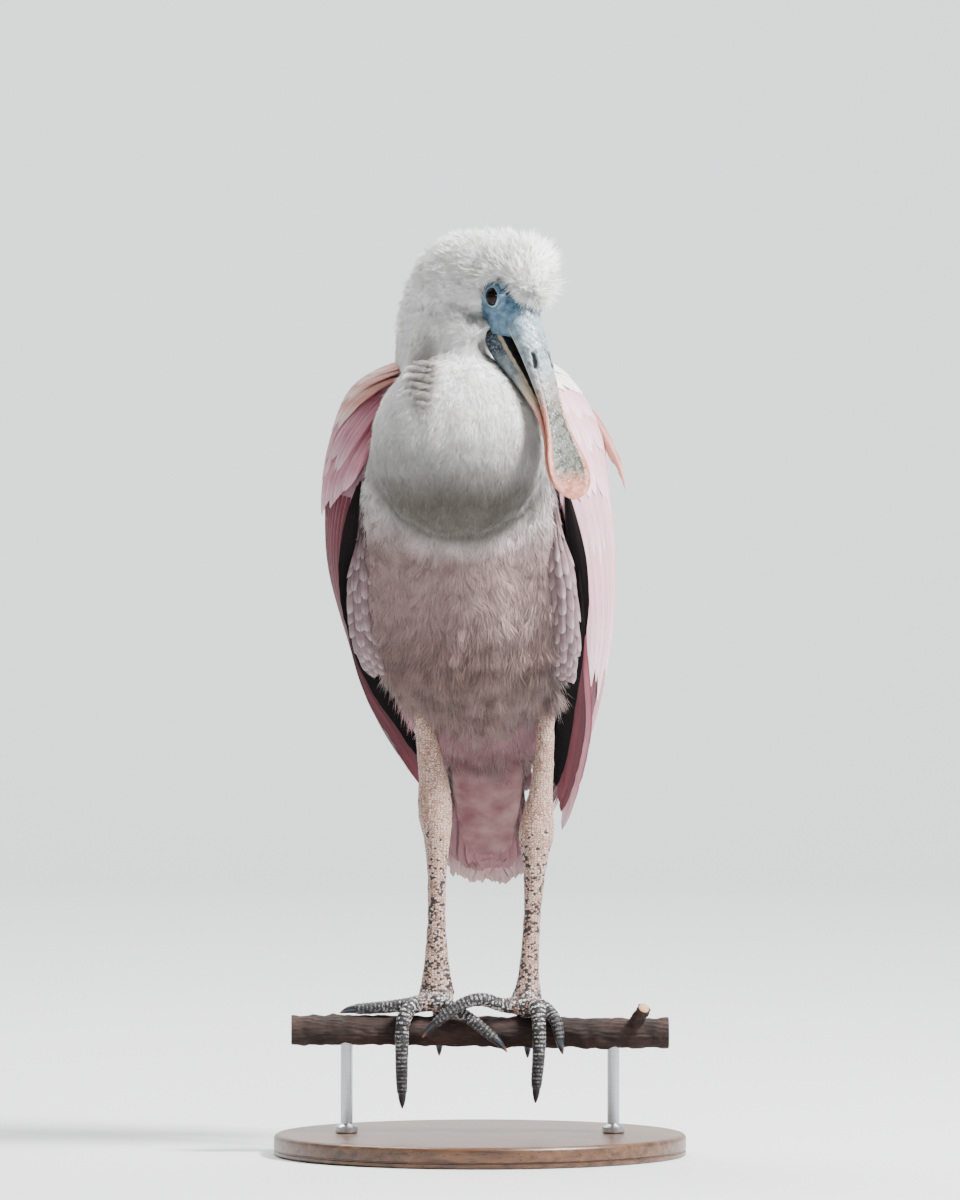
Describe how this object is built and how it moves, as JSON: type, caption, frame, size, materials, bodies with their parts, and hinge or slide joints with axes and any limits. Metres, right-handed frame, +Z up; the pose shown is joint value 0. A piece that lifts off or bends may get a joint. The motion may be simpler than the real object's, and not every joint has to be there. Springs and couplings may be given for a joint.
{
  "type": "roseate spoonbill model",
  "caption": "Life-size still model of a young roseate spoonbill, gripping a cut length of branch held over a flat round base by short rods.",
  "frame": {"origin": "centre of the display stand's flat underside", "axes": "+Z up, the bird faces -Y, and its left side is at +X"},
  "size_m": [0.272, 0.272, 0.6088],
  "materials": {
    "down": "matte",
    "feather": "satin",
    "bill": "satin",
    "face_skin": "satin",
    "eye": "gloss",
    "leg_skin": "matte",
    "claw": "satin",
    "bark": "rough",
    "base_wood": "satin",
    "rod_steel": "brushed"
  },
  "bodies": {
    "root": {"head": "down", "neck": "down", "torso": "down", "wing_right": "feather", "wing_left": "feather", "mantle": "feather", "tail": "feather", "flank_right": "feather", "flank_left": "feather", "bill_upper": "bill", "bill_lower": "bill", "face": "face_skin", "eye_right": "eye", "eye_left": "eye", "tibia_right": "leg_skin", "tarsus_right": "leg_skin", "foot_right": "leg_skin", "claw_right_outer": "claw", "claw_right_middle": "claw", "claw_right_inner": "claw", "claw_right_hind": "claw", "tibia_left": "leg_skin", "tarsus_left": "leg_skin", "foot_left": "leg_skin", "claw_left_outer": "claw", "claw_left_middle": "claw", "claw_left_inner": "claw", "claw_left_hind": "claw", "perch": "bark", "stand_base": "base_wood", "stand_rod_right": "rod_steel", "stand_rod_left": "rod_steel"}
  },
  "joints": []
}
